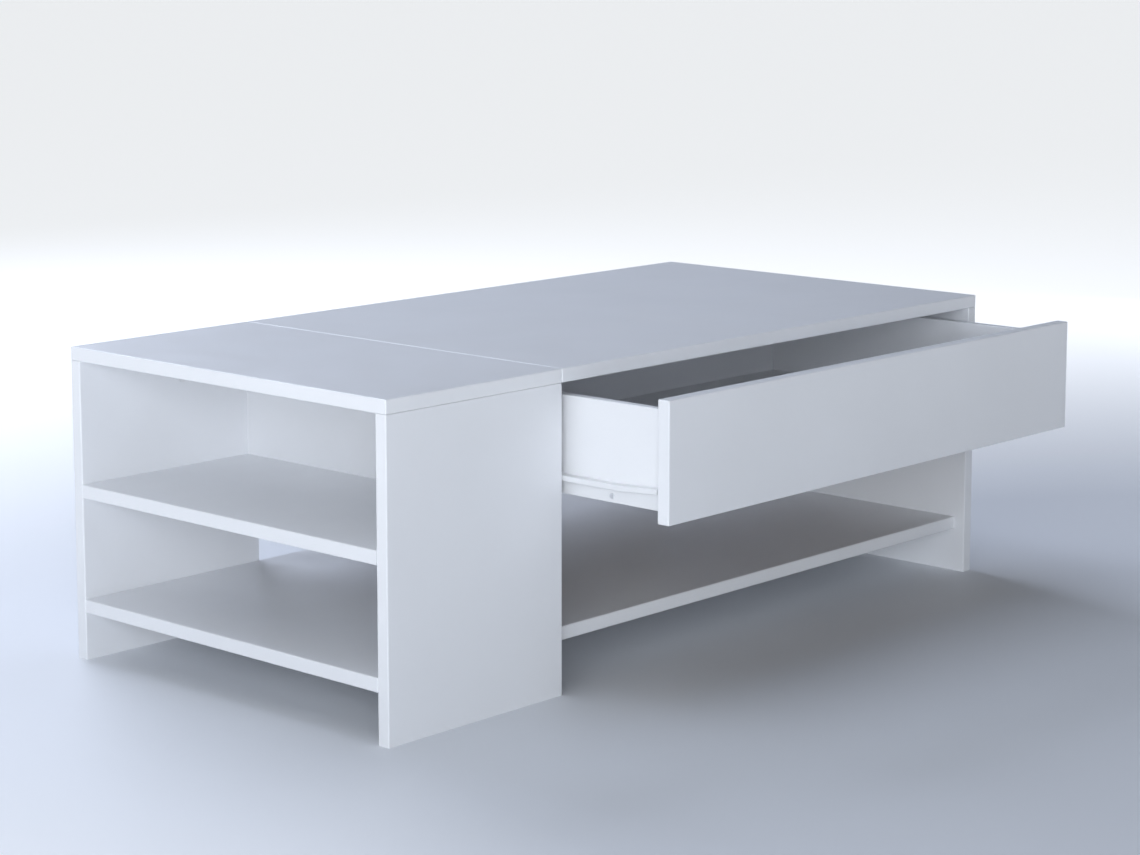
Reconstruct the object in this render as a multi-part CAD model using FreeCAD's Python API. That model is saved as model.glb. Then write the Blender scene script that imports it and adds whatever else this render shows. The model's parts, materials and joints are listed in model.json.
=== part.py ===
import FreeCAD, Part

import os

from FreeCAD import Vector

# A low table of faced board. The left bay is open at its end and has two shelves. The right bay has
# a drawer on roller runners under the top and an open shelf below. The drawer stands partly open.
# The cabinet is drawn with x = 0 at its left end, y = 0 at its front and z = 0 on the floor, the
# drawer is drawn shut, and both are moved to the table's own frame when they are written.

# ---- Driving dimensions, in millimetres ----

TABLE_LENGTH = 1060.0
TABLE_DEPTH = 520.0
TABLE_HEIGHT = 366.0
LEFT_BAY_LENGTH = 265.0
BOARD = 16.0                   # thickness of every cabinet board and of the drawer front
LOW_SHELF_TOP = 72.0
MIDDLE_SHELF_TOP = 207.0

BAND = 2.0                     # thickness of the edge banding
EDGE_RADIUS = 1.5              # rounding of a banded edge

DRAWER_OPEN = 151.0            # how far the drawer stands open at rest
FRONT_GAP = 2.0                # gap round the inset drawer front
FRONT_BOTTOM = 213.0
DRAWER_BOARD = 12.0            # thickness of the drawer's sides and back
DRAWER_LENGTH = 450.0
DRAWER_BACK_INSET = 2.0        # from the rear ends of the sides to the drawer back
SIDE_BOTTOM = 226.0
SIDE_TOP = 335.0
SHEET = 3.0                    # thickness of the drawer's bottom sheet
SHEET_UNDERSIDE = 236.0
GROOVE_DEPTH = 6.0
GROOVE_SLACK = 0.1             # above and below the sheet in its groove
SHEET_MARGIN = 0.5             # from the sheet's edges to the bottom of the groove

RUNNER_SPACE = 12.5            # between a cabinet wall and the drawer side beside it
STEEL = 1.2                    # thickness of the runner steel
RUNNER_START = 18.0
RUNNER_BOTTOM = 225.8
RUNNER_HOLLOW = 20.6           # height inside the cabinet runner
RUNNER_FLANGE = 10.4           # width of the cabinet runner's flanges
TOP_FLANGE_SETBACK = 100.0     # the cabinet runner's top flange starts this far behind its front end
SLIDER_START = 1.0             # from the drawer front's inner face to the drawer runner
SLIDER_LIP_DEPTH = 6.0         # height of the drawer runner's lip
SLIDER_REACH = 10.3            # from the drawer side out to the lip's outer face
SLIDER_RAMP_LENGTH = 57.0      # stretch over which the drawer runner rises towards the front
SLIDER_RAMP_RISE = 3.5
SLIDER_REAR_CUT = 26.0         # length without flange, which leaves room for the rear roller
BEND_RADIUS = 0.6

FRONT_ROLLER_RADIUS = 9.0
REAR_ROLLER_RADIUS = 10.0
ROLLER_WIDTH = 4.6
ROLLER_EDGE = 0.6              # rounding of a roller's rims, and depth of the ring in its faces
ROLLER_RIM = 2.0               # width of the rim outside that ring
ROLLER_HUB = 1.5               # width of the hub inside it
ROLLER_GAP = 0.3               # above and below a rear roller in its channel
FLANGE_GAP = 0.2               # between a front roller and the drawer runner above it
FRONT_ROLLER_OUT = 6.1         # from the cabinet wall to the middle of a front roller
REAR_ROLLER_OUT = 5.8          # from the drawer side to the middle of a rear roller
ROLLER_SETBACK = 12.0          # from a runner's end to its roller's axis
PIN_RADIUS = 2.5
PIN_CLEARANCE = 0.06           # between a roller's bore and its pin
PIN_SHOULDER = 1.0             # how much wider the shoulder is than the pin
PIN_HEAD = 1.5                 # how much wider the head is than the pin
PIN_HEAD_LENGTH = 0.8
PIN_END_PLAY = 0.2             # beside a roller on each side

LOCK_RADIUS = 7.5
LOCK_DEPTH = 12.5
LOCK_REACH = 34.0              # from a board's end to the middle of its cam lock
SMALL_LOCK_RADIUS = 6.0
SMALL_LOCK_DEPTH = 9.5
SMALL_LOCK_REACH = 24.0
LOCK_MOUTH_RADIUS = 3.6
DRIVER_SLOT = (7.0, 1.2, 1.6)  # length, width and depth of the slot in a cam lock
BOLT_THREAD_RADIUS = 2.5
BOLT_THREAD_LENGTH = 11.0
BOLT_SHANK_RADIUS = 3.0
SMALL_BOLT_SHANK_RADIUS = 2.6
BOLT_HOLE_RADIUS = 4.0
SMALL_BOLT_HOLE_RADIUS = 3.4
BOLT_COLLAR_STEP = 0.4         # how much wider the collar is than the shank
BOLT_COLLAR_LENGTH = 2.5
BOLT_NECK_RADIUS = 1.8
BOLT_NECK_LENGTH = 10.0
BOLT_HEAD_RADIUS = 3.2
BOLT_HEAD_LENGTH = 4.0
CAP_RADIUS = 8.5
CAP_THICKNESS = 1.2
DOWEL_RADIUS = 4.0
DOWEL_LENGTH = 30.0
SMALL_DOWEL_RADIUS = 3.0
SMALL_DOWEL_LENGTH = 25.0
DOWEL_IN_FACE = 10.0           # how deep a dowel stands in the face of a board
FIT = 0.05                     # clearance round fasteners
HOLE_SLACK = 0.5               # how much deeper a blind hole is than what stands in it

SCREW_RADIUS = 1.7
SCREW_LENGTH = 14.0
SIDE_SCREW_LENGTH = 11.0       # the shorter screws in the 12 mm drawer sides
SCREW_HEAD_RADIUS = 3.2
SCREW_HEAD_HEIGHT = 1.6
SIDE_SCREW_HEAD_HEIGHT = 1.2
HEAD_ROUNDING = 0.45           # rounding of a screw head's rim, as a share of its height
CROSS_LENGTH = 3.4             # arms of the cross recess in a screw head
CROSS_WIDTH = 0.8
CROSS_DEPTH = 0.8
LONG_SCREW_RADIUS = 1.8
LONG_SCREW_LENGTH = 38.0
LONG_SCREW_HEAD = (3.6, 2.4)   # radius and height of the countersunk head

BRACKET_LEG = 26.0
BRACKET_WIDTH = 20.0
BRACKET_STEEL = 2.0
BRACKET_HOLE_RADIUS = 1.9
BRACKET_HOLE_OUT = 16.0        # from a bracket's corner to its holes

# Where the fasteners stand, from the table's left end, its front and the floor

SHELF_BOLTS_X = (60.0, 215.0)
SHELF_DOWELS_X = (105.0, 170.0)
PANEL_BOLTS_X = (150.0, 230.0)
PANEL_DOWELS_X = (30.0, 95.0)
DIVIDER_BOLT_HEIGHT = 325.0
DIVIDER_DOWELS_Y = (60.0, 260.0, 460.0)
END_BOLTS_Y = (60.0, 460.0)
END_DOWELS_Y = (110.0, 410.0)
SEAM_DOWELS_Y = (80.0, 200.0, 320.0, 440.0)
RAIL_BOLTS_X = (420.0, 890.0)
RAIL_DOWELS_X = (330.0, 655.0, 980.0)
RAIL_BOLT_HEIGHT = 240.0
RAIL_DOWEL_HEIGHT = 300.0
BRACKETS_Y = (140.0, 260.0, 380.0)
WALL_SCREWS_Y = (62.0, 245.0, 430.0)
WALL_SCREW_HEIGHT = 234.0
SIDE_SCREWS_Y = (88.0, 250.0, 400.0)
SIDE_SCREW_HEIGHT = 232.0
DRAWER_JOINT_HEIGHTS = (262.0, 312.0)
DRAWER_DOWEL_HEIGHT = 287.0

# ---- Places that follow from the driving dimensions ----

TOP_UNDERSIDE = TABLE_HEIGHT - BOARD
BACK_INNER = TABLE_DEPTH - BOARD
RIGHT_INNER = TABLE_LENGTH - BOARD
DIVIDER_LEFT = LEFT_BAY_LENGTH - BOARD
DRAWER_OUTER_LEFT = LEFT_BAY_LENGTH + RUNNER_SPACE
DRAWER_OUTER_RIGHT = RIGHT_INNER - RUNNER_SPACE
DRAWER_INNER_LEFT = DRAWER_OUTER_LEFT + DRAWER_BOARD
DRAWER_INNER_RIGHT = DRAWER_OUTER_RIGHT - DRAWER_BOARD
DRAWER_REAR = BOARD + DRAWER_LENGTH
DRAWER_BACK_REAR = DRAWER_REAR - DRAWER_BACK_INSET
DRAWER_BACK_FRONT = DRAWER_BACK_REAR - DRAWER_BOARD
DRAWER_BAY_MIDDLE = (LEFT_BAY_LENGTH + RIGHT_INNER) / 2
RUNNER_TOP = RUNNER_BOTTOM + RUNNER_HOLLOW + 2 * STEEL
REAR_ROLLER_HEIGHT = RUNNER_BOTTOM + STEEL + RUNNER_HOLLOW / 2
SLIDER_TOP = RUNNER_TOP - STEEL - 2 * ROLLER_GAP
FRONT_ROLLER_HEIGHT = SLIDER_TOP - STEEL - FLANGE_GAP - FRONT_ROLLER_RADIUS
REAR_ROLLER_Y = DRAWER_REAR - DRAWER_BACK_INSET - ROLLER_SETBACK

X, Y, Z = Vector(1, 0, 0), Vector(0, 1, 0), Vector(0, 0, 1)
TINY = 1e-6

boards = {}                    # name: (low corner, high corner, banded faces, node of the bands)
cuts = {}                      # name of a board: the holes and grooves cut into it
pieces = {}                    # node: its separate solids
drawer_nodes = set()           # the nodes that move with the drawer


# ---- Basic shapes ----

def box(low, high):
    size = [b - a for a, b in zip(low, high)]
    return Part.makeBox(size[0], size[1], size[2], Vector(*low))


def rod(start, direction, radius, length):
    return Part.makeCylinder(radius, length, start, direction)


def joined(shapes):
    result = shapes[0].fuse(shapes[1:])
    return result.removeSplitter()


def rounded(shape, radius, chosen):
    """The shape with a fillet on each edge for which chosen(edge) is true."""
    edges = [edge for edge in shape.Edges if chosen(edge)]
    return shape.makeFillet(radius, edges)


def mirrored(shape):
    """The shape on the other side of the drawer bay."""
    return shape.mirror(Vector(DRAWER_BAY_MIDDLE, 0, 0), X)


def add(node, *shapes):
    pieces.setdefault(node, []).extend(shapes)


def add_drawer(node, *shapes):
    drawer_nodes.add(node)
    add(node, *shapes)


# ---- Boards with banded edges ----

def board(name, low, high, banded, bands_node):
    boards[name] = (low, high, banded, bands_node)
    cuts[name] = []


def faces_at(edge, low, high):
    """The names of the box faces that an edge of the box lies on."""
    centre = edge.CenterOfMass
    names = set()
    for axis, letter in enumerate("xyz"):
        if abs(centre[axis] - low[axis]) < TINY:
            names.add("-" + letter)
        if abs(centre[axis] - high[axis]) < TINY:
            names.add("+" + letter)
    return names


def large_faces(low, high):
    size = [b - a for a, b in zip(low, high)]
    letter = "xyz"[size.index(min(size))]
    return {"-" + letter, "+" + letter}


def soft_box(low, high, banded):
    """A box with its banded edges rounded. The edges of a bare end stay sharp."""
    smooth = set(banded) | large_faces(low, high)

    def is_soft(edge):
        names = faces_at(edge, low, high)
        return bool(names & set(banded)) and names <= smooth

    return rounded(box(low, high), EDGE_RADIUS, is_soft)


def make_board(name):
    """Cuts a rounded box into its core and its bands, and drills them."""
    low, high, banded, bands_node = boards[name]
    add_piece = add_drawer if name in drawer_nodes else add
    whole = soft_box(low, high, banded) if banded else box(low, high)
    if cuts[name]:
        whole = whole.cut(cuts[name])
    core_low, core_high = list(low), list(high)
    for face in banded:
        axis = "xyz".index(face[1])
        slab_low, slab_high = list(core_low), list(core_high)
        if face[0] == "-":
            core_low[axis] += BAND
            slab_high[axis] = core_low[axis]
        else:
            core_high[axis] -= BAND
            slab_low[axis] = core_high[axis]
        add_piece(bands_node, whole.common(box(slab_low, slab_high)))
    add_piece(name, whole.common(box(core_low, core_high)))


def describe_cabinet_boards():
    top = (TOP_UNDERSIDE, TABLE_HEIGHT)
    all_round = ["-y", "+y", "-x", "+x"]
    board("left_top_panel", (0, 0, top[0]), (LEFT_BAY_LENGTH, TABLE_DEPTH, top[1]),
          all_round, "left_top_edge_bands")
    board("right_top_panel", (LEFT_BAY_LENGTH, 0, top[0]), (TABLE_LENGTH, TABLE_DEPTH, top[1]),
          all_round, "right_top_edge_bands")
    board("front_side_panel", (0, 0, 0), (LEFT_BAY_LENGTH, BOARD, TOP_UNDERSIDE),
          ["-x", "+x"], "side_panel_edge_bands")
    board("back_side_panel", (0, BACK_INNER, 0), (LEFT_BAY_LENGTH, TABLE_DEPTH, TOP_UNDERSIDE),
          ["-x", "+x"], "side_panel_edge_bands")
    board("right_end_panel", (RIGHT_INNER, 0, 0), (TABLE_LENGTH, TABLE_DEPTH, TOP_UNDERSIDE),
          ["-y", "+y"], "end_panel_edge_bands")
    board("bottom_shelf", (0, BOARD, LOW_SHELF_TOP - BOARD), (RIGHT_INNER, BACK_INNER, LOW_SHELF_TOP),
          ["-y", "+y", "-x"], "bottom_shelf_edge_bands")
    board("middle_shelf", (0, BOARD, MIDDLE_SHELF_TOP - BOARD),
          (LEFT_BAY_LENGTH, BACK_INNER, MIDDLE_SHELF_TOP), ["-x", "+x"], "middle_shelf_edge_bands")
    board("drawer_divider", (DIVIDER_LEFT, BOARD, MIDDLE_SHELF_TOP),
          (LEFT_BAY_LENGTH, BACK_INNER, TOP_UNDERSIDE), [], None)
    board("back_rail", (LEFT_BAY_LENGTH, BACK_INNER - BOARD, FRONT_BOTTOM),
          (RIGHT_INNER, BACK_INNER, TOP_UNDERSIDE), ["-z"], "back_rail_edge_band")


def describe_drawer_boards():
    board("drawer_front", (LEFT_BAY_LENGTH + FRONT_GAP, 0, FRONT_BOTTOM),
          (RIGHT_INNER - FRONT_GAP, BOARD, TOP_UNDERSIDE - FRONT_GAP),
          ["-z", "+z", "-x", "+x"], "drawer_front_edge_bands")
    board("drawer_left_side", (DRAWER_OUTER_LEFT, BOARD, SIDE_BOTTOM),
          (DRAWER_INNER_LEFT, DRAWER_REAR, SIDE_TOP), ["+z"], "drawer_box_edge_bands")
    board("drawer_right_side", (DRAWER_INNER_RIGHT, BOARD, SIDE_BOTTOM),
          (DRAWER_OUTER_RIGHT, DRAWER_REAR, SIDE_TOP), ["+z"], "drawer_box_edge_bands")
    board("drawer_back", (DRAWER_INNER_LEFT, DRAWER_BACK_FRONT, SIDE_BOTTOM),
          (DRAWER_INNER_RIGHT, DRAWER_BACK_REAR, SIDE_TOP), ["+z"], "drawer_box_edge_bands")
    drawer_nodes.update(["drawer_front", "drawer_left_side", "drawer_right_side", "drawer_back"])


# ---- Cam locks, bolts and dowels ----

def bolt_shape(mouth, inward, reach, shank_radius):
    """A cam bolt: its thread in one board, its shank and head in the end of the other."""
    thread = rod(mouth - inward * BOLT_THREAD_LENGTH, inward, BOLT_THREAD_RADIUS - FIT, BOLT_THREAD_LENGTH)
    collar = rod(mouth, inward, shank_radius + BOLT_COLLAR_STEP, BOLT_COLLAR_LENGTH)
    shank = rod(mouth, inward, shank_radius, reach - BOLT_NECK_LENGTH)
    neck = rod(mouth, inward, BOLT_NECK_RADIUS, reach)
    head = rod(mouth + inward * (reach - BOLT_HEAD_LENGTH), inward, BOLT_HEAD_RADIUS, BOLT_HEAD_LENGTH)
    return joined([thread, collar, shank, neck, head])


def lock_shape(centre, inward, face_point, face, radius, depth):
    """A round cam lock with a mouth for the bolt head and a driver slot in its outer face."""
    body = rod(face_point, -face, radius - FIT, depth - 2 * FIT)
    mouth = rod(centre - inward * 2 * radius, inward, LOCK_MOUTH_RADIUS, 2 * radius)
    across = inward.cross(face)
    slot_length, slot_width, slot_depth = DRIVER_SLOT
    slot_corner = face_point - inward * slot_length / 2 - across * slot_width / 2 - face * slot_depth
    slot = Part.makeBox(slot_length, slot_width, slot_depth)
    slot.Placement = FreeCAD.Placement(slot_corner, FreeCAD.Rotation(inward, across, face, "ZXY"))
    return body.cut([mouth, slot])


def cap_shape(face_point, face):
    """A thin round cover that hides a cam lock."""
    disc = rod(face_point, face, CAP_RADIUS, CAP_THICKNESS)
    outer = face_point + face * CAP_THICKNESS

    def is_rim(edge):
        return (edge.CenterOfMass - outer).Length < TINY and edge.Length > 1

    return rounded(disc, CAP_THICKNESS / 2, is_rim)


def cam_joint(held, holder, mouth, inward, face):
    """A cam lock in the end of the held board pulls on a bolt in the holder board.

    mouth is where the bolt crosses the joint, half-way through the held board. inward points into
    the held board, and face points to the side that the lock is bored from.
    """
    centre = mouth + inward * LOCK_REACH
    face_point = centre + face * (BOARD / 2)
    cuts[held].append(rod(face_point, -face, LOCK_RADIUS, LOCK_DEPTH))
    cuts[held].append(rod(mouth, inward, BOLT_HOLE_RADIUS, LOCK_REACH))
    cuts[holder].append(rod(mouth, -inward, BOLT_THREAD_RADIUS, BOLT_THREAD_LENGTH + HOLE_SLACK))
    add("cam_bolts", bolt_shape(mouth, inward, LOCK_REACH, BOLT_SHANK_RADIUS))
    add("cam_locks", lock_shape(centre, inward, face_point, face, LOCK_RADIUS, LOCK_DEPTH))
    add("cam_cover_caps", cap_shape(face_point, face))


def small_cam_joint(held, mouth, face):
    """A small cam lock in a drawer side pulls on a bolt in the drawer front."""
    centre = mouth + Y * SMALL_LOCK_REACH
    face_point = centre + face * (DRAWER_BOARD / 2)
    cuts[held].append(rod(face_point, -face, SMALL_LOCK_RADIUS, SMALL_LOCK_DEPTH))
    cuts[held].append(rod(mouth, Y, SMALL_BOLT_HOLE_RADIUS, SMALL_LOCK_REACH))
    cuts["drawer_front"].append(rod(mouth, -Y, BOLT_THREAD_RADIUS, BOLT_THREAD_LENGTH + HOLE_SLACK))
    add_drawer("drawer_cam_bolts", bolt_shape(mouth, Y, SMALL_LOCK_REACH, SMALL_BOLT_SHANK_RADIUS))
    add_drawer("drawer_cam_locks",
               lock_shape(centre, Y, face_point, face, SMALL_LOCK_RADIUS, SMALL_LOCK_DEPTH))


def dowel(held, holder, mouth, inward, radius=DOWEL_RADIUS, length=DOWEL_LENGTH):
    """A wooden dowel between the end of the held board and the face of the holder board."""
    in_end = length - DOWEL_IN_FACE
    cuts[held].append(rod(mouth, inward, radius, in_end + HOLE_SLACK))
    cuts[holder].append(rod(mouth, -inward, radius, DOWEL_IN_FACE + HOLE_SLACK))
    return rod(mouth - inward * DOWEL_IN_FACE, inward, radius - FIT, length)


def join_shelf_to_side_panels(shelf, middle_height):
    for panel, y, inward in (("front_side_panel", BOARD, Y), ("back_side_panel", BACK_INNER, -Y)):
        for x in SHELF_BOLTS_X:
            cam_joint(shelf, panel, Vector(x, y, middle_height), inward, -Z)
        for x in SHELF_DOWELS_X:
            add("wood_dowels", dowel(shelf, panel, Vector(x, y, middle_height), inward))


def join_left_bay():
    for panel, y, face in (("front_side_panel", BOARD / 2, Y),
                           ("back_side_panel", TABLE_DEPTH - BOARD / 2, -Y)):
        for x in PANEL_BOLTS_X:
            cam_joint(panel, "left_top_panel", Vector(x, y, TOP_UNDERSIDE), -Z, face)
        for x in PANEL_DOWELS_X:
            add("wood_dowels", dowel(panel, "left_top_panel", Vector(x, y, TOP_UNDERSIDE), -Z))
    join_shelf_to_side_panels("bottom_shelf", LOW_SHELF_TOP - BOARD / 2)
    join_shelf_to_side_panels("middle_shelf", MIDDLE_SHELF_TOP - BOARD / 2)


def join_divider():
    x = LEFT_BAY_LENGTH - BOARD / 2
    cam_joint("drawer_divider", "front_side_panel", Vector(x, BOARD, DIVIDER_BOLT_HEIGHT), Y, X)
    cam_joint("drawer_divider", "back_side_panel", Vector(x, BACK_INNER, DIVIDER_BOLT_HEIGHT), -Y, X)
    for y in DIVIDER_DOWELS_Y:
        add("wood_dowels", dowel("drawer_divider", "middle_shelf", Vector(x, y, MIDDLE_SHELF_TOP), Z))
    for y in END_DOWELS_Y:
        add("wood_dowels", dowel("drawer_divider", "left_top_panel", Vector(x, y, TOP_UNDERSIDE), -Z))


def join_right_bay():
    end_x = TABLE_LENGTH - BOARD / 2
    shelf_middle = LOW_SHELF_TOP - BOARD / 2
    for y in END_BOLTS_Y:
        cam_joint("right_end_panel", "right_top_panel", Vector(end_x, y, TOP_UNDERSIDE), -Z, -X)
        cam_joint("bottom_shelf", "right_end_panel", Vector(RIGHT_INNER, y, shelf_middle), -X, -Z)
    for y in END_DOWELS_Y:
        add("wood_dowels", dowel("right_end_panel", "right_top_panel", Vector(end_x, y, TOP_UNDERSIDE), -Z))
        add("wood_dowels", dowel("bottom_shelf", "right_end_panel", Vector(RIGHT_INNER, y, shelf_middle), -X))
    for y in SEAM_DOWELS_Y:
        seam = Vector(LEFT_BAY_LENGTH, y, TABLE_HEIGHT - BOARD / 2)
        add("wood_dowels", dowel("right_top_panel", "left_top_panel", seam, X))


def join_back_rail():
    y = BACK_INNER - BOARD / 2
    for x in RAIL_BOLTS_X:
        cam_joint("back_rail", "right_top_panel", Vector(x, y, TOP_UNDERSIDE), -Z, -Y)
    for x in RAIL_DOWELS_X:
        add("wood_dowels", dowel("back_rail", "right_top_panel", Vector(x, y, TOP_UNDERSIDE), -Z))
    for holder, x, inward in (("drawer_divider", LEFT_BAY_LENGTH, X), ("right_end_panel", RIGHT_INNER, -X)):
        cam_joint("back_rail", holder, Vector(x, y, RAIL_BOLT_HEIGHT), inward, -Y)
        add("wood_dowels", dowel("back_rail", holder, Vector(x, y, RAIL_DOWEL_HEIGHT), inward))


# ---- Screws and brackets ----

def cross_recess(outer, inward):
    """The cross that a driver fits, cut into a screw head from its outer face."""
    sideways = X if abs(inward.x) < TINY else Z
    arms = []
    for along in (sideways, inward.cross(sideways)):
        across = along.cross(inward)
        corner = outer - along * CROSS_LENGTH / 2 - across * CROSS_WIDTH / 2
        arm = Part.makeBox(CROSS_LENGTH, CROSS_WIDTH, CROSS_DEPTH)
        arm.Placement = FreeCAD.Placement(corner, FreeCAD.Rotation(along, across, along.cross(across), "XYZ"))
        arms.append(arm)
    return joined(arms)


def pan_screw(head_seat, outward, length=SCREW_LENGTH, head_height=SCREW_HEAD_HEIGHT):
    """A screw whose head sits on head_seat, with its shank going the other way."""
    head = rod(head_seat, outward, SCREW_HEAD_RADIUS, head_height)
    outer = head_seat + outward * head_height

    def is_rim(edge):
        return (edge.CenterOfMass - outer).Length < TINY and edge.Length > 1

    head = rounded(head, head_height * HEAD_ROUNDING, is_rim)
    shank = rod(head_seat, -outward, SCREW_RADIUS, length)
    return joined([head, shank]).cut(cross_recess(outer, -outward))


def countersunk_head(face_point, inward, clearance=0.0):
    radius, height = LONG_SCREW_HEAD
    return Part.makeCone(radius + clearance, LONG_SCREW_RADIUS + clearance, height, face_point, inward)


def countersunk_screw(face_point, inward):
    shank = rod(face_point, inward, LONG_SCREW_RADIUS, LONG_SCREW_LENGTH)
    return joined([countersunk_head(face_point, inward), shank]).cut(cross_recess(face_point, inward))


def corner_bracket(y):
    """A steel angle that holds the right top's left end on the divider, with its two screws."""
    low_y, high_y = y - BRACKET_WIDTH / 2, y + BRACKET_WIDTH / 2
    x, z = LEFT_BAY_LENGTH, TOP_UNDERSIDE
    upright = box((x, low_y, z - BRACKET_LEG), (x + BRACKET_STEEL, high_y, z))
    flat = box((x, low_y, z - BRACKET_STEEL), (x + BRACKET_LEG, high_y, z))
    wall_seat = Vector(x + BRACKET_STEEL, y, z - BRACKET_HOLE_OUT)
    top_seat = Vector(x + BRACKET_HOLE_OUT, y, z - BRACKET_STEEL)
    holes = [rod(wall_seat, -X, BRACKET_HOLE_RADIUS, BRACKET_STEEL),
             rod(top_seat, Z, BRACKET_HOLE_RADIUS, BRACKET_STEEL)]
    add("corner_brackets", joined([upright, flat]).cut(holes))
    hole_depth = SCREW_LENGTH - BRACKET_STEEL + HOLE_SLACK
    cuts["drawer_divider"].append(rod(Vector(x, y, wall_seat.z), -X, SCREW_RADIUS + FIT, hole_depth))
    cuts["right_top_panel"].append(rod(Vector(top_seat.x, y, z), Z, SCREW_RADIUS + FIT, hole_depth))
    add("bracket_screws", pan_screw(wall_seat, X), pan_screw(top_seat, -Z))


def make_brackets():
    for y in BRACKETS_Y:
        corner_bracket(y)


# ---- Runners and rollers, drawn for the left side and mirrored to the right ----

def along_y(edge):
    return abs(edge.tangentAt(edge.FirstParameter).y) > 0.99


def cabinet_runner():
    """The channel on the cabinet wall, open towards the drawer, with a stop tab at its rear."""
    x = LEFT_BAY_LENGTH
    front, rear = RUNNER_START, RUNNER_START + DRAWER_LENGTH
    tip = x + RUNNER_FLANGE
    web = box((x, front, RUNNER_BOTTOM), (x + STEEL, rear, RUNNER_TOP))
    floor = box((x, front, RUNNER_BOTTOM), (tip, rear, RUNNER_BOTTOM + STEEL))
    roof = box((x, front + TOP_FLANGE_SETBACK, RUNNER_TOP - STEEL), (tip, rear, RUNNER_TOP))
    tab = box((x, rear - STEEL, RUNNER_BOTTOM), (tip, rear, RUNNER_TOP))
    shape = joined([web, floor, roof, tab])
    holes = [rod(Vector(x, y, WALL_SCREW_HEIGHT), X, SCREW_RADIUS + FIT, STEEL) for y in WALL_SCREWS_Y]
    pin_place = Vector(x, front + ROLLER_SETBACK, FRONT_ROLLER_HEIGHT)
    holes.append(rod(pin_place, X, PIN_RADIUS + FIT, STEEL))
    return shape.cut(holes)


def drawer_runner():
    """The angle under the drawer side, whose flange and lip hang over the cabinet's front roller."""
    side = DRAWER_OUTER_LEFT
    front, rear = BOARD + SLIDER_START, DRAWER_REAR
    bottom = SIDE_BOTTOM - STEEL
    ramp_end = front + SLIDER_RAMP_LENGTH
    corners = [(front, bottom), (rear, bottom), (rear, SLIDER_TOP), (ramp_end, SLIDER_TOP),
               (front, SLIDER_TOP + SLIDER_RAMP_RISE)]
    outline = [Vector(side - STEEL, y, z) for y, z in corners]
    web = Part.Face(Part.makePolygon(outline + outline[:1])).extrude(X * STEEL)
    foot = box((side - STEEL, front, bottom), (DRAWER_INNER_LEFT, rear, SIDE_BOTTOM))
    lip_out = side - SLIDER_REACH
    hook = [(side, SLIDER_TOP), (lip_out, SLIDER_TOP), (lip_out, SLIDER_TOP - SLIDER_LIP_DEPTH),
            (lip_out + STEEL, SLIDER_TOP - SLIDER_LIP_DEPTH), (lip_out + STEEL, SLIDER_TOP - STEEL),
            (side, SLIDER_TOP - STEEL)]
    section = [Vector(x, ramp_end, z) for x, z in hook]
    hook_face = Part.Face(Part.makePolygon(section + section[:1]))
    level = hook_face.extrude(Y * (rear - SLIDER_REAR_CUT - ramp_end))
    ramp = hook_face.extrude(Vector(0, front - ramp_end, SLIDER_RAMP_RISE))
    holes = [rod(Vector(side - STEEL, y, SIDE_SCREW_HEIGHT), X, SCREW_RADIUS + FIT, STEEL)
             for y in SIDE_SCREWS_Y]
    pin_place = Vector(side - STEEL, REAR_ROLLER_Y, REAR_ROLLER_HEIGHT)
    holes.append(rod(pin_place, X, PIN_RADIUS + FIT, STEEL))

    def is_outer_bend(edge):
        at_lip = abs(edge.CenterOfMass.x - lip_out) < TINY
        at_foot = abs(edge.CenterOfMass.x - (side - STEEL)) < TINY and edge.CenterOfMass.z < SIDE_BOTTOM
        return along_y(edge) and (at_lip or at_foot)

    shape = joined([web, foot, level, ramp])
    return rounded(shape, BEND_RADIUS, is_outer_bend).cut(holes)


def roller(centre, radius):
    """A plastic wheel with a bore, soft rims and a shallow ring in each face."""
    start = centre - X * (ROLLER_WIDTH / 2)
    wheel = rod(start, X, radius, ROLLER_WIDTH)
    wheel = rounded(wheel, ROLLER_EDGE, lambda edge: edge.Length > radius)
    hub = rod(start, X, PIN_RADIUS + ROLLER_HUB, ROLLER_EDGE)
    ring = rod(start, X, radius - ROLLER_RIM, ROLLER_EDGE).cut(hub)
    far_ring = ring.translated(X * (ROLLER_WIDTH - ROLLER_EDGE))
    bore = rod(start, X, PIN_RADIUS + PIN_CLEARANCE, ROLLER_WIDTH)
    return wheel.cut([ring, far_ring, bore])


def roller_pin(wall_point, outward, middle):
    """A pin riveted in a runner, with a shoulder before its roller and a head after it."""
    inner = (middle - wall_point).dot(outward) - ROLLER_WIDTH / 2 - PIN_END_PLAY
    outer = inner + ROLLER_WIDTH + 2 * PIN_END_PLAY
    shoulder = rod(wall_point + outward * STEEL, outward, PIN_RADIUS + PIN_SHOULDER, inner - STEEL)
    shaft = rod(wall_point, outward, PIN_RADIUS, outer)
    head = rod(wall_point + outward * outer, outward, PIN_RADIUS + PIN_HEAD, PIN_HEAD_LENGTH)
    return joined([shoulder, shaft, head])


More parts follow.
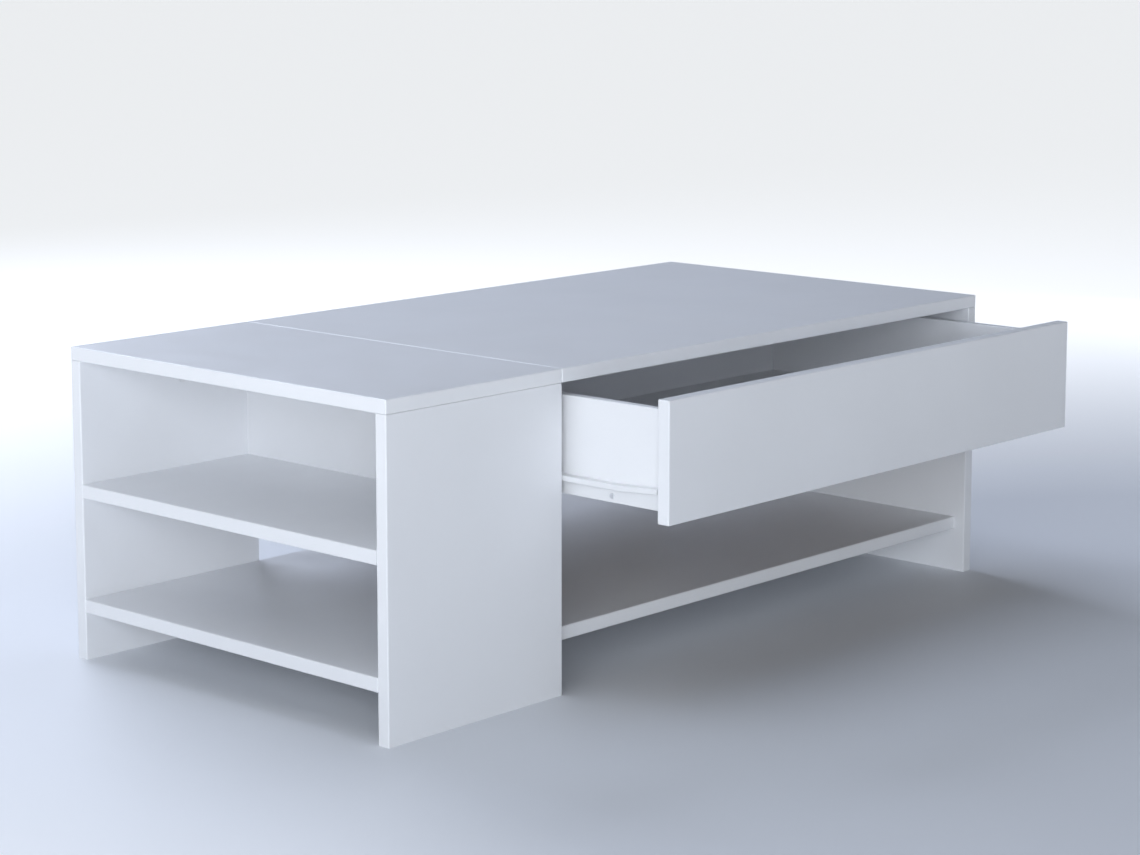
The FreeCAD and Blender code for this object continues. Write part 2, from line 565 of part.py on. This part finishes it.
def make_cabinet_runners():
    wall = Vector(LEFT_BAY_LENGTH, RUNNER_START + ROLLER_SETBACK, FRONT_ROLLER_HEIGHT)
    middle = wall + X * FRONT_ROLLER_OUT
    runner = cabinet_runner()
    pin = roller_pin(wall, X, middle)
    wheel = roller(middle, FRONT_ROLLER_RADIUS)
    add("left_cabinet_runner", runner)
    add("right_cabinet_runner", mirrored(runner))
    add("front_roller_pins", pin, mirrored(pin))
    add("front_left_roller", wheel)
    add("front_right_roller", mirrored(wheel))
    hole_depth = SCREW_LENGTH - STEEL + HOLE_SLACK
    for y in WALL_SCREWS_Y:
        screw = pan_screw(Vector(LEFT_BAY_LENGTH + STEEL, y, WALL_SCREW_HEIGHT), X)
        hole = rod(Vector(LEFT_BAY_LENGTH, y, WALL_SCREW_HEIGHT), -X, SCREW_RADIUS + FIT, hole_depth)
        add("cabinet_runner_screws", screw, mirrored(screw))
        cuts["drawer_divider"].append(hole)
        cuts["right_end_panel"].append(mirrored(hole))


def make_drawer_runners():
    wall = Vector(DRAWER_OUTER_LEFT, REAR_ROLLER_Y, REAR_ROLLER_HEIGHT)
    middle = wall - X * REAR_ROLLER_OUT
    runner = drawer_runner()
    pin = roller_pin(wall, -X, middle)
    wheel = roller(middle, REAR_ROLLER_RADIUS)
    add_drawer("left_drawer_runner", runner)
    add_drawer("right_drawer_runner", mirrored(runner))
    add_drawer("rear_roller_pins", pin, mirrored(pin))
    add_drawer("rear_left_roller", wheel)
    add_drawer("rear_right_roller", mirrored(wheel))
    hole_depth = SIDE_SCREW_LENGTH - STEEL + HOLE_SLACK
    for y in SIDE_SCREWS_Y:
        screw = pan_screw(Vector(DRAWER_OUTER_LEFT - STEEL, y, SIDE_SCREW_HEIGHT), -X,
                          SIDE_SCREW_LENGTH, SIDE_SCREW_HEAD_HEIGHT)
        hole = rod(Vector(DRAWER_OUTER_LEFT, y, SIDE_SCREW_HEIGHT), X, SCREW_RADIUS + FIT, hole_depth)
        add_drawer("drawer_runner_screws", screw, mirrored(screw))
        cuts["drawer_left_side"].append(hole)
        cuts["drawer_right_side"].append(mirrored(hole))


# ---- The drawer box ----

def make_drawer_bottom():
    """The sheet that slides into a groove all round, with the grooves cut for it."""
    low = Vector(DRAWER_INNER_LEFT - GROOVE_DEPTH, BOARD - GROOVE_DEPTH, SHEET_UNDERSIDE)
    high = Vector(DRAWER_INNER_RIGHT + GROOVE_DEPTH, DRAWER_BACK_FRONT + GROOVE_DEPTH,
                  SHEET_UNDERSIDE + SHEET)
    for name in ("drawer_front", "drawer_left_side", "drawer_right_side", "drawer_back"):
        cuts[name].append(box(low - Z * GROOVE_SLACK, high + Z * GROOVE_SLACK))
    margin = Vector(SHEET_MARGIN, SHEET_MARGIN, 0)
    add_drawer("drawer_bottom", box(low + margin, high - margin))


def join_drawer():
    back_middle = (DRAWER_BACK_FRONT + DRAWER_BACK_REAR) / 2
    sides = (("drawer_left_side", DRAWER_OUTER_LEFT, X), ("drawer_right_side", DRAWER_OUTER_RIGHT, -X))
    for side, outer_x, inner_way in sides:
        middle_x = outer_x + inner_way.x * DRAWER_BOARD / 2
        for z in DRAWER_JOINT_HEIGHTS:
            small_cam_joint(side, Vector(middle_x, BOARD, z), inner_way)
        add_drawer("drawer_dowels",
                   dowel(side, "drawer_front", Vector(middle_x, BOARD, DRAWER_DOWEL_HEIGHT), Y,
                         SMALL_DOWEL_RADIUS, SMALL_DOWEL_LENGTH))
        for z in DRAWER_JOINT_HEIGHTS:
            start = Vector(outer_x, back_middle, z)
            hole = rod(start, inner_way, LONG_SCREW_RADIUS + FIT, LONG_SCREW_LENGTH + HOLE_SLACK)
            add_drawer("drawer_back_screws", countersunk_screw(start, inner_way))
            cuts[side].extend([countersunk_head(start, inner_way, FIT), hole])
            cuts["drawer_back"].append(hole)


# ---- The whole table ----

def write_parts():
    """Writes each node in the table's own frame: its origin is under the middle of its box at rest."""
    os.makedirs("parts", exist_ok=True)
    to_frame = Vector(-TABLE_LENGTH / 2, -(TABLE_DEPTH - DRAWER_OPEN) / 2, 0)
    for node, solids in pieces.items():
        shift = to_frame - Y * DRAWER_OPEN if node in drawer_nodes else to_frame
        shape = solids[0] if len(solids) == 1 else Part.makeCompound(solids)
        shape.translated(shift).exportStep("parts/" + node + ".step")


def main():
    describe_cabinet_boards()
    describe_drawer_boards()
    join_left_bay()
    join_divider()
    join_right_bay()
    join_back_rail()
    make_brackets()
    make_cabinet_runners()
    make_drawer_bottom()
    make_drawer_runners()
    join_drawer()
    for name in boards:
        make_board(name)
    write_parts()


main()
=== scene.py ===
import json
import math

import bpy
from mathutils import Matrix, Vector

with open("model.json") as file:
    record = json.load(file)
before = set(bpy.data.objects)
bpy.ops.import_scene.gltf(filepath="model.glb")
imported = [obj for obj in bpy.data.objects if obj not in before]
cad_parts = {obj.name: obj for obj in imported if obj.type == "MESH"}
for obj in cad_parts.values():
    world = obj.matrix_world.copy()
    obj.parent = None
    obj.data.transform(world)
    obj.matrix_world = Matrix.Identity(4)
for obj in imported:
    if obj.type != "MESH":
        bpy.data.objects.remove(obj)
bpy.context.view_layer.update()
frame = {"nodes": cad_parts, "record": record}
scene = bpy.context.scene
nodes = frame["nodes"]

# ---- Linear colours ----

BOARD_WHITE = (0.86, 0.868, 0.885, 1)
BAND_WHITE = (0.87, 0.877, 0.89, 1)
FOIL_WHITE = (0.87, 0.873, 0.88, 1)
SHEET_WHITE = (0.83, 0.83, 0.83, 1)
POWDER_WHITE = (0.84, 0.845, 0.85, 1)
CAP_WHITE = (0.84, 0.845, 0.855, 1)
NYLON = (0.74, 0.73, 0.69, 1)
ZINC = (0.80, 0.81, 0.83, 1)
CAST_ZINC = (0.58, 0.585, 0.60, 1)
BEECH = (0.62, 0.42, 0.25, 1)
BEECH_DARK = (0.44, 0.26, 0.13, 1)
CHIP_LIGHT = (0.56, 0.40, 0.23, 1)
CHIP_DARK = (0.20, 0.11, 0.05, 1)
FIBRE_BROWN = (0.20, 0.125, 0.07, 1)
FIBRE_DARK = (0.13, 0.08, 0.045, 1)

# ---- Surface detail. Sizes and depths are in metres ----

MILLIMETRE = 0.001
NOISE_LOW = 0.3                # nearly all of a noise lies between these
NOISE_HIGH = 0.7

# Each coating's colour and roughness, and the size and depth of its fine relief.
COATINGS = {
    "faced_board": (BOARD_WHITE, 0.36, 0.9 * MILLIMETRE, 0.012 * MILLIMETRE),
    "edge_band": (BAND_WHITE, 0.34, 0.4 * MILLIMETRE, 0.004 * MILLIMETRE),
    "drawer_board": (FOIL_WHITE, 0.38, 0.5 * MILLIMETRE, 0.01 * MILLIMETRE),
    "bottom_sheet": (SHEET_WHITE, 0.42, 1.6 * MILLIMETRE, 0.03 * MILLIMETRE),
    "runner_steel": (POWDER_WHITE, 0.34, 1.1 * MILLIMETRE, 0.02 * MILLIMETRE),
    "roller_plastic": (NYLON, 0.40, 0.4 * MILLIMETRE, 0.01 * MILLIMETRE),
    "cap_plastic": (CAP_WHITE, 0.34, 0.3 * MILLIMETRE, 0.008 * MILLIMETRE),
}
CLOUD_SIZE = 0.16              # patches where a coating's colour drifts
CLOUD_SHARE = 0.7              # of that drift. The rest is a fine grain
GRAIN_SIZE = 0.9 * MILLIMETRE
DRIFT = (0.975, 1.02)          # the darkest and lightest share of the coating's own colour
GLOSS_SIZE = 0.05              # patches where its roughness differs
GLOSS_DRIFT = 0.04             # by at most this much
BAND_LINE_STRETCH = 0.15       # the banding's lines are longer than wide by one over this

# Each zinc surface's colour and roughness, and the size and depth of its grain.
ZINCS = {
    "bright_zinc": (ZINC, 0.36, 0.25 * MILLIMETRE, 0.01 * MILLIMETRE),
    "lock_zinc": (CAST_ZINC, 0.45, 0.5 * MILLIMETRE, 0.03 * MILLIMETRE),
}
SPANGLE_SIZE = 3 * MILLIMETRE  # patches of lighter and darker plating
SPANGLE_DRIFT = (0.9, 1.1)
SPANGLE_SMOOTHER = 0.06        # how far the roughness goes below and above its own
SPANGLE_ROUGHER = 0.08

CHIP_SIZE = 2.2 * MILLIMETRE   # chips of a sawn chipboard end, and the fibres in them
CHIP_FIBRE_SIZE = 0.6 * MILLIMETRE
CHIP_FIBRE_DRIFT = (0.4, 1.2)
CHIP_DEPTH = 0.4 * MILLIMETRE
RAW_END_HEIGHT = 0.5 * MILLIMETRE  # faces that look down below this height are sawn ends
FACES_DOWN = -0.5              # a normal's Z below this looks down

SHEET_FIBRE_SIZE = 1.5 * MILLIMETRE

BEECH_FIBRE_SIZE = 2 * MILLIMETRE
BEECH_FIBRE_DEPTH = 0.05 * MILLIMETRE
BEECH_SHADE = 0.8              # the darker fibres' share of the colour
BEECH_ROUGHNESS = 0.6
FLECK_SIZE = 1.3 * MILLIMETRE  # how far apart beech's dark flecks are
FLECK_REACH = 0.18             # a fleck's radius, as a share of that

# ---- Floor ----

FLOOR_WHITE = (0.87, 0.89, 0.92, 1)
FLOOR_HALF = 40.0              # half the length of its sides
FLOOR_CLOUD_SIZE = 0.6
FLOOR_SHADE = 0.985            # the darkest patches' share of the colour
FLOOR_ROUGHNESS = 0.6
FLOOR_GLOW_COLOUR = (0.96, 0.98, 1.0, 1)
FLOOR_GLOW = 0.80              # how brightly the lit studio floor shines back, away from the table
GLOW_NEAR = 0.6                # where that starts, and where it is full
GLOW_FAR = 2.8
GLOW_LATE_SIDE = (0.42, -0.91, 0.0)  # on this side of the table it starts and ends farther away
GLOW_LATE_TURN = 0.5           # fully so where the cosine to that side is above this
GLOW_LATE_SHARE = 0.55         # and there a distance counts as this share of itself

# ---- The camera, fitted to the table's corners ----

CAMERA_PLACE = (-2.404, -2.1505, 0.846)
CAMERA_YAW = 47.58             # degrees from +y towards +x
CAMERA_PITCH = 8.22            # degrees down
CAMERA_LENS = 85.6             # millimetres, as is the sensor's width
CAMERA_SENSOR = 36.0
CAMERA_SHIFT = -0.10
CAMERA_REACH = 200.0           # how far it sees

# ---- Lights: name, place, size, power in watts and colour. All point at the middle of the table ----

LIGHTS = (
    ("key", (-3.4, -2.0, 1.2), 2.0, 46, (0.88, 0.93, 1.0)),
    ("far_key", (-5.0, -5.0, 1.3), 2.4, 125, (0.85, 0.905, 1.0)),
    ("low_right", (3.0, 0.3, 0.5), 1.2, 7, (0.80, 0.86, 1.0)),
    ("top_left", (-1.0, 0.3, 2.0), 1.6, 10.4, (0.86, 0.91, 1.0)),
    ("top_middle", (0.0, 0.0, 2.8), 2.2, 10, (0.59, 0.72, 1.0)),
    ("top_back", (0.3, 2.6, 2.2), 2.0, 60, (0.76, 0.83, 1.0)),
)
LIGHT_TARGET = (0.0, 0.0, 0.2)

HORIZON_GLOW = 0.86            # how bright the pale backdrop is at the horizon, and high above the table
SKY_GLOW = 0.05
HORIZON_COLOUR = (0.94, 0.97, 1.0, 1)
BACKDROP_LOW = 0.03            # sine of the elevation where it starts to fade, and where it ends
BACKDROP_HIGH = 0.20


# ---- Node helpers ----

def new_material(name):
    material = bpy.data.materials.new(name)
    material.use_nodes = True
    return material, *tree_and_shader(material)


def tree_and_shader(material):
    tree = material.node_tree
    return tree, tree.nodes["Principled BSDF"]


def fill(tree, socket, value):
    """Link the socket if value is another node's socket, else set it to value."""
    if isinstance(value, bpy.types.NodeSocket):
        tree.links.new(value, socket)
    else:
        socket.default_value = value


def add_node(tree, kind, inputs=None, **settings):
    """A node with its settings, and each input set to a value or linked to a socket."""
    made = tree.nodes.new(kind)
    for name, value in settings.items():
        setattr(made, name, value)
    for name, value in (inputs or {}).items():
        fill(tree, made.inputs[name], value)
    return made


def place_in_part(tree, stretch=(1, 1, 1)):
    """The point in the piece's own frame, in metres, stretched along each axis."""
    coords = add_node(tree, "ShaderNodeTexCoord")
    mapping = add_node(tree, "ShaderNodeMapping", {"Vector": coords.outputs["Object"], "Scale": stretch})
    return mapping.outputs["Vector"]


def downward(tree):
    """1 where the surface faces down, else 0."""
    facing = add_node(tree, "ShaderNodeTexCoord").outputs["Normal"]
    up = add_node(tree, "ShaderNodeSeparateXYZ", {"Vector": facing}).outputs["Z"]
    return maths(tree, "LESS_THAN", up, FACES_DOWN)


def noise(tree, vector, size, detail=2.0):
    """Noise from 0 to 1 whose grains are about size metres across."""
    made = add_node(tree, "ShaderNodeTexNoise", {"Vector": vector, "Scale": 1 / size, "Detail": detail})
    return made.outputs["Fac"]


def spread(tree, value, low, high, from_low=NOISE_LOW, from_high=NOISE_HIGH):
    """A value between from_low and from_high carried to the range from low to high."""
    made = add_node(tree, "ShaderNodeMapRange",
                    {"Value": value, "From Min": from_low, "From Max": from_high,
                     "To Min": low, "To Max": high})
    return made.outputs["Result"]


def mixed(tree, data_type, factor, first, second):
    """first where factor is 0 and second where it is 1. data_type is RGBA or VECTOR."""
    made = add_node(tree, "ShaderNodeMix", data_type=data_type)
    suffix = {"RGBA": "_Color", "VECTOR": "_Vector"}[data_type]
    sockets = {socket.identifier: socket for socket in made.inputs}
    fill(tree, sockets["Factor_Float"], factor)
    fill(tree, sockets["A" + suffix], first)
    fill(tree, sockets["B" + suffix], second)
    return next(socket for socket in made.outputs if socket.identifier == "Result" + suffix)


def maths(tree, operation, first, second):
    return add_node(tree, "ShaderNodeMath", {0: first, 1: second}, operation=operation).outputs[0]


def bump(tree, height, depth):
    """A bump whose height runs from 0 to 1 over depth metres."""
    return add_node(tree, "ShaderNodeBump",
                    {"Height": height, "Strength": 1.0, "Distance": depth}).outputs["Normal"]


def shade(colour, share):
    """The same colour, darker or lighter by a share."""
    return tuple(min(1.0, c * share) for c in colour[:3]) + (1,)


def drifting(tree, value, colour, shares):
    """The colour between two shares of itself, as value goes from low to high."""
    low, high = shares
    return mixed(tree, "RGBA", spread(tree, value, 0, 1), shade(colour, low), shade(colour, high))


# ---- Materials ----

def coating(slot, across=None):
    """A pale coated surface: cloudy colour, uneven gloss and a fine relief.

    across is given where the relief is drawn out into lines, and is the axis across them."""
    colour, roughness, relief_size, relief_depth = COATINGS[slot]
    name = slot
    stretch = [1, 1, 1]
    if across:
        name = slot + "_" + across
        stretch = [BAND_LINE_STRETCH] * 3
        stretch["xyz".index(across)] = 1
    material, tree, shader = new_material(name)
    place = place_in_part(tree)
    cloud = maths(tree, "MULTIPLY", noise(tree, place, CLOUD_SIZE, detail=3), CLOUD_SHARE)
    grain = maths(tree, "MULTIPLY", noise(tree, place, GRAIN_SIZE, detail=1), 1 - CLOUD_SHARE)
    tone = drifting(tree, maths(tree, "ADD", cloud, grain), colour, DRIFT)
    tree.links.new(tone, shader.inputs["Base Color"])
    gloss = noise(tree, place, GLOSS_SIZE, detail=3)
    uneven = spread(tree, gloss, roughness - GLOSS_DRIFT, roughness + GLOSS_DRIFT)
    tree.links.new(uneven, shader.inputs["Roughness"])
    relief = noise(tree, place_in_part(tree, stretch), relief_size)
    tree.links.new(bump(tree, relief, relief_depth), shader.inputs["Normal"])
    return material


def chipboard(tree):
    """Colour and bump of a raw sawn chipboard end."""
    place = place_in_part(tree)
    chips = add_node(tree, "ShaderNodeTexVoronoi", {"Vector": place, "Scale": 1 / CHIP_SIZE})
    tone = add_node(tree, "ShaderNodeSeparateColor", {"Color": chips.outputs["Color"]}).outputs["Red"]
    fibre = spread(tree, noise(tree, place, CHIP_FIBRE_SIZE, detail=3), *CHIP_FIBRE_DRIFT)
    darkness = maths(tree, "MULTIPLY", tone, fibre)
    return mixed(tree, "RGBA", darkness, CHIP_LIGHT, CHIP_DARK), bump(tree, darkness, CHIP_DEPTH)


def over_coating(tree, shader, where, socket_name, data_type, second):
    """Put second in place of what the coating gives a socket, where where is 1."""
    socket = shader.inputs[socket_name]
    first = socket.links[0].from_socket
    tree.links.new(mixed(tree, data_type, where, first, second), socket)


def melamine():
    """Faced board, with raw chipboard on the ends that stand on the floor."""
    material = coating("faced_board")
    tree, shader = tree_and_shader(material)
    point = add_node(tree, "ShaderNodeTexCoord").outputs["Object"]
    height = add_node(tree, "ShaderNodeSeparateXYZ", {"Vector": point}).outputs["Z"]
    low = maths(tree, "LESS_THAN", height, RAW_END_HEIGHT)
    raw = maths(tree, "MULTIPLY", low, downward(tree))
    chip_colour, chip_bump = chipboard(tree)
    over_coating(tree, shader, raw, "Base Color", "RGBA", chip_colour)
    over_coating(tree, shader, raw, "Normal", "VECTOR", chip_bump)
    return material


def bottom_sheet():
    """Lacquered fibreboard, white above and brown below."""
    material = coating("bottom_sheet")
    tree, shader = tree_and_shader(material)
    fibre = spread(tree, noise(tree, place_in_part(tree), SHEET_FIBRE_SIZE, detail=4), 0, 1)
    brown = mixed(tree, "RGBA", fibre, FIBRE_BROWN, FIBRE_DARK)
    over_coating(tree, shader, downward(tree), "Base Color", "RGBA", brown)
    return material


def zinc(name):
    """Plated or cast zinc, with a cloudy gloss and a fine grain."""
    colour, roughness, grain_size, grain_depth = ZINCS[name]
    material, tree, shader = new_material(name)
    shader.inputs["Metallic"].default_value = 1.0
    place = place_in_part(tree)
    cloud = noise(tree, place, SPANGLE_SIZE, detail=3)
    tree.links.new(drifting(tree, cloud, colour, SPANGLE_DRIFT), shader.inputs["Base Color"])
    gloss = spread(tree, cloud, roughness - SPANGLE_SMOOTHER, roughness + SPANGLE_ROUGHER)
    tree.links.new(gloss, shader.inputs["Roughness"])
    grain = noise(tree, place, grain_size)
    tree.links.new(bump(tree, grain, grain_depth), shader.inputs["Normal"])
    return material


def beech():
    """Plain beech with its short dark flecks."""
    material, tree, shader = new_material("dowel_wood")
    place = place_in_part(tree)
    fibre = noise(tree, place, BEECH_FIBRE_SIZE, detail=4)
    fleck = add_node(tree, "ShaderNodeTexVoronoi", {"Vector": place, "Scale": 1 / FLECK_SIZE})
    mark = maths(tree, "LESS_THAN", fleck.outputs["Distance"], FLECK_REACH)
    tone = drifting(tree, fibre, BEECH, (1, BEECH_SHADE))
    tree.links.new(mixed(tree, "RGBA", mark, tone, BEECH_DARK), shader.inputs["Base Color"])
    shader.inputs["Roughness"].default_value = BEECH_ROUGHNESS
    tree.links.new(bump(tree, fibre, BEECH_FIBRE_DEPTH), shader.inputs["Normal"])
    return material


def floor_glow(tree, place):
    """The floor's glow: none near the table, full far away, and later on one side."""
    away = add_node(tree, "ShaderNodeVectorMath", {0: place}, operation="LENGTH").outputs["Value"]
    direction = add_node(tree, "ShaderNodeVectorMath", {0: place}, operation="NORMALIZE").outputs["Vector"]
    turned = add_node(tree, "ShaderNodeVectorMath", {0: direction, 1: GLOW_LATE_SIDE},
                      operation="DOT_PRODUCT").outputs["Value"]
    counted = maths(tree, "MULTIPLY", away, spread(tree, turned, 1, GLOW_LATE_SHARE, 0, GLOW_LATE_TURN))
    return spread(tree, counted, 0, FLOOR_GLOW, GLOW_NEAR, GLOW_FAR)


def floor_material():
    """A pale floor that shines back like a lit studio floor."""
    material, tree, shader = new_material("studio_floor")
    place = place_in_part(tree)
    cloud = noise(tree, place, FLOOR_CLOUD_SIZE, detail=3)
    tree.links.new(drifting(tree, cloud, FLOOR_WHITE, (FLOOR_SHADE, 1)), shader.inputs["Base Color"])
    shader.inputs["Roughness"].default_value = FLOOR_ROUGHNESS
    shader.inputs["Emission Color"].default_value = FLOOR_GLOW_COLOUR
    tree.links.new(floor_glow(tree, place), shader.inputs["Emission Strength"])
    return material


# ---- Which piece gets which material ----

def dress_nodes():
    """Give every node the material of its slot, and each band the one whose lines run along it."""
    foil = coating("drawer_board")
    bright = zinc("bright_zinc")
    band = {across: coating("edge_band", across) for across in "xyz"}
    by_slot = {
        "faced_board": melamine(),
        "drawer_board": foil,
        "bottom_sheet": bottom_sheet(),
        "runner_steel": coating("runner_steel"),
        "roller_plastic": coating("roller_plastic"),
        "cap_plastic": coating("cap_plastic"),
        "pin_steel": bright,
        "bolt_steel": bright,
        "bracket_steel": bright,
        "screw_steel": bright,
        "lock_zinc": zinc("lock_zinc"),
        "dowel_wood": beech(),
        "edge_band": band["z"],
    }
    by_node = {
        "side_panel_edge_bands": band["y"],
        "drawer_front_edge_bands": band["y"],
        "back_rail_edge_band": band["y"],
        "end_panel_edge_bands": band["x"],
        "drawer_box_edge_bands": foil,
    }
    for part in frame["record"]["subparts"]:
        name = part["node"]
        nodes[name].data.materials.clear()
        nodes[name].data.materials.append(by_node.get(name, by_slot[part["material_slot"]]))


# ---- Floor, light and camera ----

def make_floor():
    half = FLOOR_HALF
    corners = [(-half, -half, 0), (half, -half, 0), (half, half, 0), (-half, half, 0)]
    mesh = bpy.data.meshes.new("studio_floor")
    mesh.from_pydata(corners, [], [(0, 1, 2, 3)])
    mesh.materials.append(floor_material())
    floor = bpy.data.objects.new("studio_floor", mesh)
    scene.collection.objects.link(floor)


def aimed(place, target):
    """The rotation that points an object's -Z axis from place to target."""
    return (Vector(target) - Vector(place)).to_track_quat("-Z", "Y").to_euler()


def make_lights():
    for name, place, size, power, colour in LIGHTS:
        light = bpy.data.lights.new(name, "AREA")
        light.shape = "SQUARE"
        light.size = size
        light.energy = power
        light.color = colour
        lamp = bpy.data.objects.new(name, light)
        lamp.location = place
        lamp.rotation_euler = aimed(place, LIGHT_TARGET)
        lamp.visible_camera = False
        scene.collection.objects.link(lamp)


def make_backdrop():
    """A pale horizon that the floor runs into, fading upwards."""
    world = bpy.data.worlds.new("studio")
    world.use_nodes = True
    tree = world.node_tree
    direction = add_node(tree, "ShaderNodeTexCoord").outputs["Generated"]
    up = add_node(tree, "ShaderNodeSeparateXYZ", {"Vector": direction}).outputs["Z"]
    glow = spread(tree, up, HORIZON_GLOW, SKY_GLOW, BACKDROP_LOW, BACKDROP_HIGH)
    background = tree.nodes["Background"]
    tree.links.new(glow, background.inputs["Strength"])
    background.inputs["Color"].default_value = HORIZON_COLOUR
    scene.world = world
    scene.view_settings.view_transform = "Standard"


def make_camera():
    lens = bpy.data.cameras.new("photo_camera")
    lens.lens = CAMERA_LENS
    lens.sensor_width = CAMERA_SENSOR
    lens.sensor_fit = "HORIZONTAL"
    lens.shift_y = CAMERA_SHIFT
    lens.clip_end = CAMERA_REACH
    camera = bpy.data.objects.new("photo_camera", lens)
    camera.location = CAMERA_PLACE
    camera.rotation_euler = (math.radians(90 - CAMERA_PITCH), 0, math.radians(-CAMERA_YAW))
    scene.collection.objects.link(camera)
    scene.camera = camera


dress_nodes()
make_floor()
make_lights()
make_backdrop()
make_camera()
